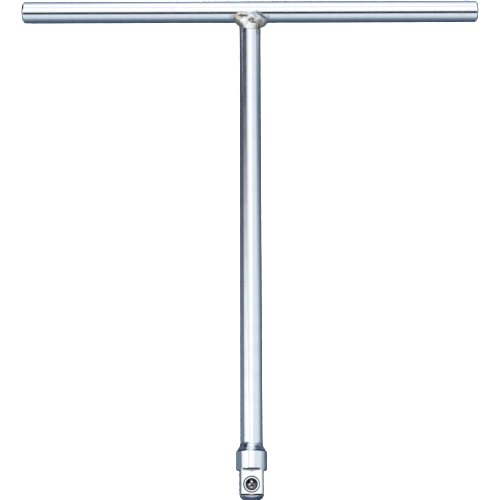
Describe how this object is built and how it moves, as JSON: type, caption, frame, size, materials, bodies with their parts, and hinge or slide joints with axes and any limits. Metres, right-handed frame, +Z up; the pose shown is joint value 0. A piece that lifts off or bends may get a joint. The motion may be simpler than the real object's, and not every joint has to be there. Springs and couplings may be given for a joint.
{
  "type": "T-handle socket wrench",
  "caption": "Fixed T-handle wrench: a round bar welded across a round shank, with a half-inch male square drive and a sprung detent ball for turning sockets.",
  "frame": {"origin": "middle of the footprint at the lowest level, under the shank's axis, with the wrench lying on its back and the detent ball up", "axes": "+X along the handle bar, +Y along the shank from the drive tip to the bar, +Z up, out of the face that carries the detent ball"},
  "size_m": [0.25, 0.2714, 0.0162],
  "materials": {
    "plated_bar": "bright nickel and chrome plate over ground steel, fine lines along the bar",
    "plated_shank": "bright nickel and chrome plate over turned steel",
    "plated_weld": "plated over as welded, rippled and pitted",
    "steel_ball": "polished hardened steel",
    "spring_wire": "drawn spring wire, lightly oiled"
  },
  "bodies": {
    "wrench": {"handle_bar": "plated_bar", "shank_with_square_drive": "plated_shank", "weld_run_left": "plated_weld", "weld_run_right": "plated_weld", "detent_spring": "spring_wire"},
    "ball": {"detent_ball": "steel_ball"}
  },
  "joints": [
    {"name": "detent_press", "type": "slide", "parent": "wrench", "child": "ball", "axis": [0, 0, -1], "range_m": [0, 0.0016], "stiffness_N_per_m": 6500, "springref_m": -0.002, "deforming": ["detent_spring"]}
  ]
}
